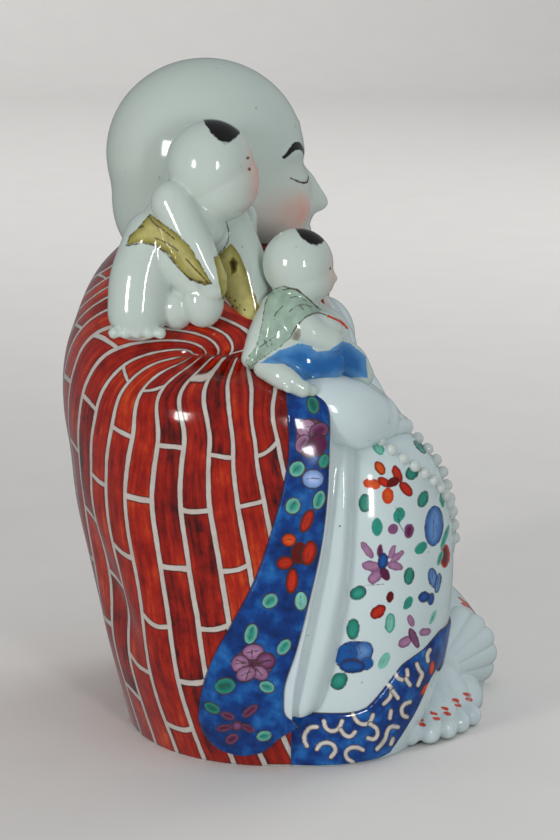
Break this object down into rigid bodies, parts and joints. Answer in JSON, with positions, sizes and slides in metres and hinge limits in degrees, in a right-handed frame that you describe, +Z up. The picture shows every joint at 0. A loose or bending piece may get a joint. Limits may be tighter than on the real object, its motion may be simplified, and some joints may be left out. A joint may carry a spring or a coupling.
{
  "type": "hotei figure",
  "caption": "Seated laughing hotei in glazed porcelain with a patchwork robe, a rosary on the raised knee and small boys climbing on one sleeve.",
  "frame": {"origin": "on the flat underside, under the middle of the shoulders", "axes": "+Z up, the figure faces -Y, its own right hand and the climbing boys are at -X"},
  "size_m": [0.1792, 0.1697, 0.25],
  "materials": {
    "glazed_porcelain": "gloss"
  },
  "bodies": {
    "root": {"hotei_figure": "glazed_porcelain"}
  },
  "joints": []
}
